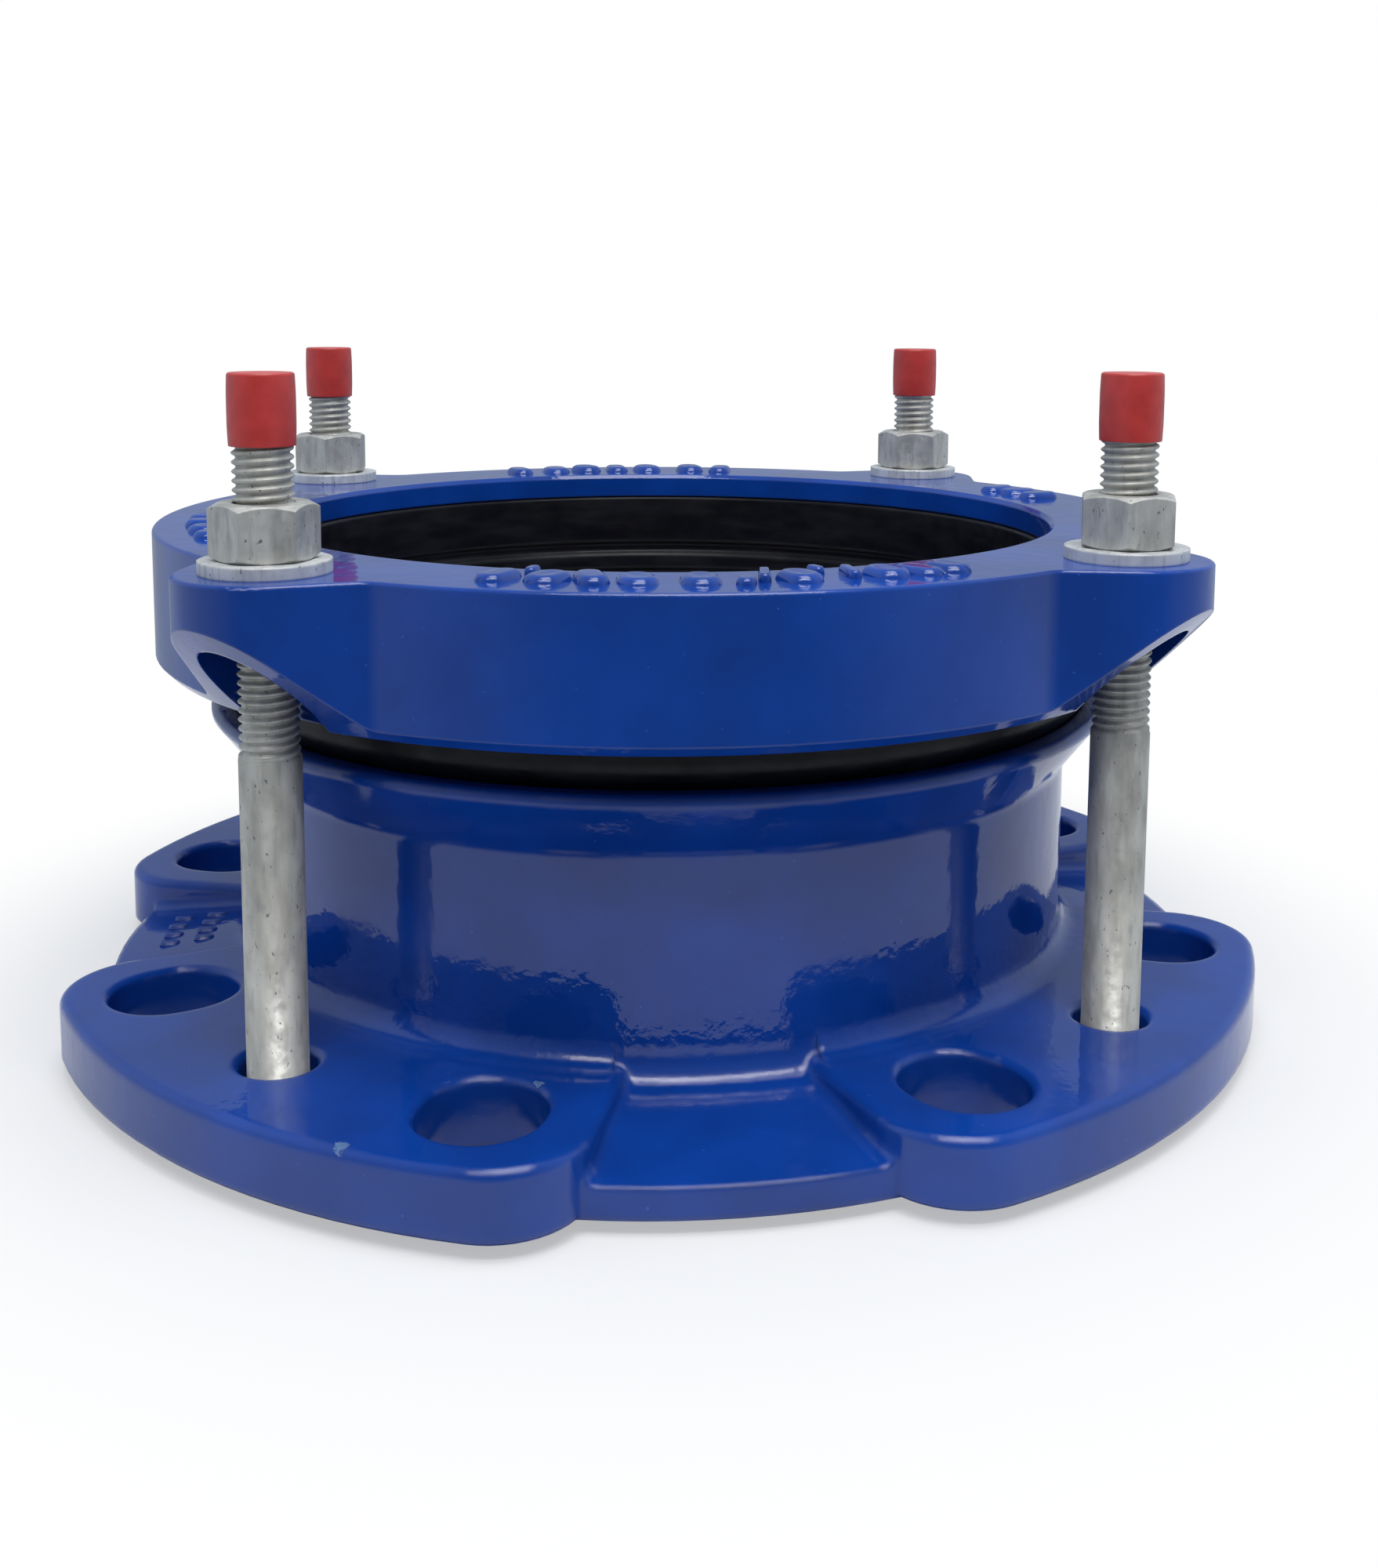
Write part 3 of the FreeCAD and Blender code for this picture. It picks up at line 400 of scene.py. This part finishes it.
# Bosses on the top face of the gland ring
# Cast with the ring and swollen by the coat. Each kind has its reach from the
# axis, its length and its width in mm, and the share of its height that dips.
RING_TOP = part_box("gland_ring")[1][2]
BOSS_SINK = 0.15 * MM
ROUND_BOSS = (106, 10.5, 8, 0.15)
OVAL_BOSS = (106, 11, 6.5, 0)
SMALL_BOSS = (109, 5, 4, 0)
INNER_BAR = (99, 4.5, 2.6, 0)
LONG_BAR = (104, 9, 2.6, 0)
RING_MARKS = {
    "front": ((-113.2, OVAL_BOSS), (-110.8, INNER_BAR), (-108, ROUND_BOSS), (-103.6, OVAL_BOSS),
              (-99, ROUND_BOSS), (-92.7, ROUND_BOSS), (-88.4, SMALL_BOSS), (-86, LONG_BAR),
              (-82.6, ROUND_BOSS), (-79.4, INNER_BAR), (-76.6, LONG_BAR), (-73, ROUND_BOSS),
              (-69, OVAL_BOSS), (-65.2, ROUND_BOSS)),
    "back": ((107, OVAL_BOSS), (101, ROUND_BOSS), (96, ROUND_BOSS), (91, OVAL_BOSS),
             (86, ROUND_BOSS), (79, ROUND_BOSS), (74, OVAL_BOSS)),
    "right": ((13, OVAL_BOSS), (18, ROUND_BOSS), (23, OVAL_BOSS)),
    "left": ((183, ROUND_BOSS), (188, OVAL_BOSS), (193, ROUND_BOSS), (198, OVAL_BOSS)),
}
skew = random.Random(4)
for side, places in RING_MARKS.items():
    marks = bmesh.new()
    for bearing, (reach, length, width, dimple) in places:
        angle = math.radians(bearing)
        spot = Vector((math.cos(angle), math.sin(angle), 0)) * reach * MM
        spot.z = RING_TOP - BOSS_SINK
        lie = angle + math.radians(skew.uniform(-22, 22))
        raise_boss(marks, spot, lie, length * MM, width * MM, skew.uniform(1.5, 1.9) * MM, dimple)
    close_piece(marks, "cast_marks_" + side, ring_coat, "gland")

# Tie bolts
# Steel bolts with a hexagon head and a rolled thread, hot dip galvanised. The
# heads sit in pockets under the flange, and the shanks come up through the ears.


def zinc_group():
    """Dull zinc: pale and dark clouds, streaks down the work, and dark pits."""
    tree, start, end = new_group("zinc_skin", [
        ("Place", "NodeSocketVector", None),
        ("Tumbled", "NodeSocketFloat", 0.0),
    ], [("Color", "NodeSocketColor"), ("Roughness", "NodeSocketFloat"),
        ("Height", "NodeSocketFloat")])
    place = start.outputs["Place"]
    cloud = lay_ramp(tree, lay_noise(tree, place, 260, 4, (1, 1, 0.35)), 0.25, 0.75)
    colour = lay_mix(tree, cloud, (0.355, 0.345, 0.315), (0.54, 0.53, 0.49))
    bright = lay_mix(tree, cloud, (0.56, 0.57, 0.57), (0.72, 0.73, 0.73))
    colour = lay_mix(tree, start.outputs["Tumbled"], colour, bright)
    streak = lay_ramp(tree, lay_noise(tree, place, 700, 4, (1, 1, 0.2)), 0.52, 0.68, 0, 0.35)
    colour = lay_mix(tree, streak, colour, (0.24, 0.245, 0.24))
    pits = lay_ramp(tree, lay_noise(tree, place, 1300, 3, (1, 1, 0.5)), 0.66, 0.72)
    tree.links.new(lay_mix(tree, pits, colour, (0.17, 0.17, 0.165)), end.inputs["Color"])
    tree.links.new(lay_ramp(tree, lay_noise(tree, place, 500, 3), 0.3, 0.7, 0.42, 0.62),
                   end.inputs["Roughness"])
    grain = lay_arithmetic(tree, "MULTIPLY", lay_noise(tree, place, 900, 4), 0.5)
    tree.links.new(lay_arithmetic(tree, "SUBTRACT", grain, pits), end.inputs["Height"])
    return tree


ZINC_SKIN = zinc_group()


def galvanised(name, edge_radius, tumbled=0.0):
    """Zinc coated steel whose edges are softened by the dip, paler if it was tumbled."""
    material = bpy.data.materials.new(name)
    material.use_nodes = True
    tree = material.node_tree
    shader = tree.nodes["Principled BSDF"]
    place = lay_node(tree, "ShaderNodeTexCoord").outputs["Object"]
    skin = lay_node(tree, "ShaderNodeGroup", node_tree=ZINC_SKIN, Tumbled=tumbled)
    tree.links.new(place, skin.inputs["Place"])
    tree.links.new(skin.outputs["Color"], shader.inputs["Base Color"])
    tree.links.new(skin.outputs["Roughness"], shader.inputs["Roughness"])
    corner = lay_node(tree, "ShaderNodeBevel", samples=6, Radius=edge_radius)
    bump = lay_node(tree, "ShaderNodeBump", Strength=0.7, Distance=0.06 * MM)
    tree.links.new(skin.outputs["Height"], bump.inputs["Height"])
    tree.links.new(corner.outputs["Normal"], bump.inputs["Normal"])
    tree.links.new(bump.outputs["Normal"], shader.inputs["Normal"])
    shader.inputs["Metallic"].default_value = 0.5
    return material


CORNERS = {"back_right": 45, "back_left": 135, "front_left": 225, "front_right": 315}
HEAD_HEIGHT = 7.5 * MM
HEAD_FLAT = 18 * MM
HEAD_LAND = HEAD_FLAT / 2 - 0.4 * MM
HEAD_BEVEL = math.tan(math.radians(30))
SHANK_R = 6 * MM
CREST_R = 5.8 * MM
ROOT_R = 4.95 * MM
THREAD_LENGTH = 72 * MM
THREAD_PITCH = 1.75 * MM
END_BEVEL = 1.2 * MM
ROUND_STEPS = 48
CREST_SHAPE = (0.0, 0.22, 0.8, 1.0, 0.8, 0.22)
ROWS_A_TURN = len(CREST_SHAPE)


def head_reach(step):
    """How far out the side of the hexagon lies, one step round from a corner."""
    off = (360 * step / ROUND_STEPS) % 60 - 30
    return HEAD_FLAT / 2 / math.cos(math.radians(off))


def thread_reach(height, row, foot, end):
    """The radius of the thread, faded into the shank and bevelled at the end."""
    reach = ROOT_R + (CREST_R - ROOT_R) * CREST_SHAPE[row % ROWS_A_TURN]
    fade = min(max((height - foot) / THREAD_PITCH, 0), 1)
    reach = SHANK_R + (reach - SHANK_R) * fade
    return min(reach, CREST_R - END_BEVEL + (end - height))


def roll_bolt(low, high, bearing):
    """One bolt: bevelled hexagon head, plain shank, and a thread along a helix."""
    axis = (low + high) / 2
    seat = low.z + HEAD_HEIGHT
    foot = high.z - THREAD_LENGTH
    sheet = bmesh.new()

    def ring_of(places):
        ring = []
        for step, (reach, height) in enumerate(places):
            angle = math.radians(bearing + 360 * step / ROUND_STEPS)
            ring.append(sheet.verts.new((axis.x + reach * math.cos(angle),
                                         axis.y + reach * math.sin(angle), height)))
        return ring

    steps = range(ROUND_STEPS)
    rings = [ring_of((HEAD_LAND, low.z) for step in steps),
             ring_of((head_reach(step), low.z + (head_reach(step) - HEAD_LAND) * HEAD_BEVEL)
                     for step in steps),
             ring_of((head_reach(step), seat) for step in steps),
             ring_of((SHANK_R, seat) for step in steps)]
    for row in range(-ROWS_A_TURN, round(THREAD_LENGTH / THREAD_PITCH * ROWS_A_TURN) + 1):
        climbs = [(row / ROWS_A_TURN + step / ROUND_STEPS) * THREAD_PITCH for step in steps]
        heights = [min(max(foot + climb, foot), high.z) for climb in climbs]
        rings.append(ring_of((thread_reach(height, row, foot, high.z), height)
                             for height in heights))
    head, helix = rings[:5], rings[4:]
    for lower, upper in zip(head, head[1:]):
        join_rings(sheet, lower, upper)
    for index, (lower, upper) in enumerate(zip(helix, helix[1:])):
        join_rings(sheet, lower, upper, ROUND_STEPS - 1)
        if index + ROWS_A_TURN + 1 < len(helix):
            turn_on, turn_over = helix[index + ROWS_A_TURN], helix[index + ROWS_A_TURN + 1]
            sheet.faces.new((lower[-1], turn_on[0], turn_over[0], upper[-1]))
    sheet.faces.new(reversed(rings[0]))
    sheet.faces.new(rings[-1])
    return sheet, seat


bolt_zinc = galvanised("galvanised_bolt", 0.25 * MM)
for corner, bearing in CORNERS.items():
    low, high = (Vector(spot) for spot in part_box("tie_bolt_" + corner))
    bolt_sheet, seat = roll_bolt(low, high, bearing)
    bolt = close_piece(bolt_sheet, "rolled_bolt_" + corner, bolt_zinc,
                       "flange_casting", flat_below=seat + 0.01 * MM)
    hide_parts("tie_bolt_" + corner)

# Washers
# Plain washers, galvanised and tumbled, so that their rims are round and bright.
washer_zinc = galvanised("galvanised_washer", 0.6 * MM, 1.0)
for corner in CORNERS:
    finish_node("washer_" + corner, washer_zinc)

# Nuts
# Hexagon nuts run down on the washers, galvanised before their thread was cut.
nut_zinc = galvanised("galvanised_nut", 0.3 * MM, 0.2)
for corner in CORNERS:
    finish_node("nut_" + corner, nut_zinc)

# Thread caps
# Soft red plastic caps, moulded a little barrel shaped and pushed over the ends
# of the bolts to keep the coating and the thread clean.


def red_plastic():
    """Red plastic, its upward faces painted paler as a painted sheen."""
    material = bpy.data.materials.new("red_cap_plastic")
    material.use_nodes = True
    tree = material.node_tree
    shader = tree.nodes["Principled BSDF"]
    place = lay_node(tree, "ShaderNodeTexCoord").outputs["Object"]
    cloud = lay_ramp(tree, lay_noise(tree, place, 220, 3), 0.3, 0.7)
    colour = lay_mix(tree, cloud, (0.44, 0.032, 0.029), (0.52, 0.040, 0.036))
    facing = lay_node(tree, "ShaderNodeSeparateXYZ")
    tree.links.new(lay_node(tree, "ShaderNodeNewGeometry").outputs["Normal"], facing.inputs[0])
    # Painted sheen: faces that point upward are painted paler, standing in for the reflection on
    # the cap tops.
    painted_top_sheen = lay_ramp(tree, facing.outputs["Z"], 0.6, 1.0)
    colour = lay_mix(tree, painted_top_sheen, colour, (0.52, 0.095, 0.088))
    tree.links.new(colour, shader.inputs["Base Color"])
    tree.links.new(lay_ramp(tree, lay_noise(tree, place, 600, 3), 0.3, 0.7, 0.34, 0.46),
                   shader.inputs["Roughness"])
    bump = lay_node(tree, "ShaderNodeBump", Strength=0.5, Distance=0.05 * MM)
    tree.links.new(lay_noise(tree, place, 1500, 3), bump.inputs["Height"])
    tree.links.new(bump.outputs["Normal"], shader.inputs["Normal"])
    return material


cap_red = red_plastic()
CAP_END_R = 6.2 * MM
CAP_WAIST_R = 6.35 * MM
CAP_WALL_IN = 5.85 * MM
CAP_ROOF = 1.3 * MM
CAP_STEPS = 64
for corner in CORNERS:
    low, high = (Vector(spot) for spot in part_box("thread_cap_" + corner))
    axis = (low + high) / 2
    cap_outline = [
        (0, high.z - 0.3 * MM, 0),
        (3.5 * MM, high.z - 0.25 * MM, 1.0 * MM),
        (5.2 * MM, high.z, 0.5 * MM),
        (CAP_END_R, high.z, 0.6 * MM),
        (CAP_WAIST_R, high.z - 4 * MM, 1.5 * MM),
        (CAP_WAIST_R, low.z + 3.5 * MM, 1.5 * MM),
        (CAP_END_R, low.z, 0.2 * MM),
        (CAP_WALL_IN, low.z, 0.1 * MM),
        (CAP_WALL_IN, high.z - CAP_ROOF, 0),
        (0, high.z - CAP_ROOF, 0),
    ]
    cap_sheet = bmesh.new()
    turn_profile(cap_sheet, eased(cap_outline, closed=False), CAP_STEPS, axis, closed=False)
    cap = close_piece(cap_sheet, "push_cap_" + corner, cap_red, "cap_" + corner)
    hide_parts("thread_cap_" + corner)

# Table
# A round table top painted a matt white. Away from the object it is seen as
# white as the backdrop, so that it ends with no edge.
TABLE_R = 0.33
TABLE_DROP = 0.05 * MM
PAINT_R = 0.14
WHITE_R = 0.22
WHITE_NEAR = 0.45
table_sheet = bmesh.new()
bmesh.ops.create_circle(table_sheet, cap_ends=True, segments=96, radius=TABLE_R)
table_mesh = bpy.data.meshes.new("table_top")
table_sheet.to_mesh(table_mesh)
table_sheet.free()
table = bpy.data.objects.new("table_top", table_mesh)
table.location.z = -TABLE_DROP
bpy.context.scene.collection.objects.link(table)

table_paint = bpy.data.materials.new("white_table_paint")
table_paint.use_nodes = True
tree = table_paint.node_tree
paint = tree.nodes["Principled BSDF"]
paint.inputs["Base Color"].default_value = (0.74, 0.74, 0.74, 1)
paint.inputs["Roughness"].default_value = 0.7
paint.inputs["Specular IOR Level"].default_value = 0.2
place = lay_node(tree, "ShaderNodeTexCoord").outputs["Object"]
away = lay_node(tree, "ShaderNodeVectorMath", operation="LENGTH")
tree.links.new(place, away.inputs[0])
far = lay_ramp(tree, away.outputs["Value"], PAINT_R, WHITE_R, WHITE_NEAR, 1)
seen = lay_node(tree, "ShaderNodeLightPath").outputs["Is Camera Ray"]
bright = lay_node(tree, "ShaderNodeEmission", Strength=1.0)
blend = tree.nodes.new("ShaderNodeMixShader")
tree.links.new(lay_arithmetic(tree, "MULTIPLY", far, seen), blend.inputs[0])
tree.links.new(paint.outputs[0], blend.inputs[1])
tree.links.new(bright.outputs[0], blend.inputs[2])
tree.links.new(blend.outputs[0], tree.nodes["Material Output"].inputs["Surface"])
table_mesh.materials.append(table_paint)

# Room
# A white backdrop to the camera. To the object it is a dim bluish room, darker
# on the camera's side and paler to the sides and overhead.
world = bpy.data.worlds.new("studio")
bpy.context.scene.world = world
world.use_nodes = True
tree = world.node_tree
tree.nodes.clear()
split = lay_node(tree, "ShaderNodeSeparateXYZ")
tree.links.new(lay_node(tree, "ShaderNodeTexCoord").outputs["Generated"], split.inputs[0])
level = lay_ramp(tree, split.outputs["Y"], -0.7, 0.2, 0.12, 0.38)
sides = lay_ramp(tree, lay_arithmetic(tree, "ABSOLUTE", split.outputs["X"]), 0.35, 0.9, 0, 0.3)
overhead = lay_ramp(tree, split.outputs["Z"], 0.15, 0.85, 0, 0.2)
room = lay_arithmetic(tree, "ADD", lay_arithmetic(tree, "ADD", level, sides), overhead)
seen = lay_node(tree, "ShaderNodeLightPath").outputs["Is Camera Ray"]
backdrop = lay_node(tree, "ShaderNodeBackground")
tint = lay_mix(tree, seen, (0.87, 0.98, 1.12), (1.0, 1.0, 1.0))
tree.links.new(tint, backdrop.inputs["Color"])
tree.links.new(lay_arithmetic(tree, "MAXIMUM", room, seen), backdrop.inputs["Strength"])
tree.links.new(backdrop.outputs[0], lay_node(tree, "ShaderNodeOutputWorld").inputs["Surface"])

# Lamps
# A broad soft box overhead, a panel high in front, and a bright tube along that
# panel. Each has its size in metres, its watts and its place.
LAMPS = {
    "overhead_softbox": ((0.6, 0.6), 6.0, (0.1, -0.2, 1.2)),
    "front_panel": ((1.2, 0.5), 1.7, (0, -0.62, 1.0)),
    "tube_strip": ((0.9, 0.09), 4.6, (0, -0.60, 0.98)),
}
LAMP_AIM = Vector((0, 0, 0.06))
for name, (size, energy, spot) in LAMPS.items():
    lamp_data = bpy.data.lights.new(name, "AREA")
    lamp_data.shape = "RECTANGLE"
    lamp_data.size, lamp_data.size_y = size
    lamp_data.energy = energy
    lamp = bpy.data.objects.new(name, lamp_data)
    lamp.location = spot
    lamp.rotation_euler = (LAMP_AIM - lamp.location).to_track_quat("-Z", "Y").to_euler()
    bpy.context.scene.collection.objects.link(lamp)

# Camera
# In front of the object, a little left of its axis and above the gland ring.
# Its picture is shifted down, which keeps the bolts nearly upright.
CAMERA_SPOT = Vector((-47.96, -418.2, 164.9)) * MM
CAMERA_TURN = math.radians(-8.388)
CAMERA_TIP = math.radians(90 - 7.087)
CAMERA_ROLL = math.radians(0.367)
camera_data = bpy.data.cameras.new("camera")
camera_data.lens = 39.908
camera_data.sensor_width = 36
camera_data.shift_x = -0.0183
camera_data.shift_y = -0.17
camera = bpy.data.objects.new("camera", camera_data)
turn = (Matrix.Rotation(CAMERA_TURN, 4, "Z") @ Matrix.Rotation(CAMERA_TIP, 4, "X")
        @ Matrix.Rotation(CAMERA_ROLL, 4, "Z"))
camera.matrix_world = Matrix.Translation(CAMERA_SPOT) @ turn
bpy.context.scene.collection.objects.link(camera)
bpy.context.scene.camera = camera
bpy.context.scene.view_settings.view_transform = "Standard"
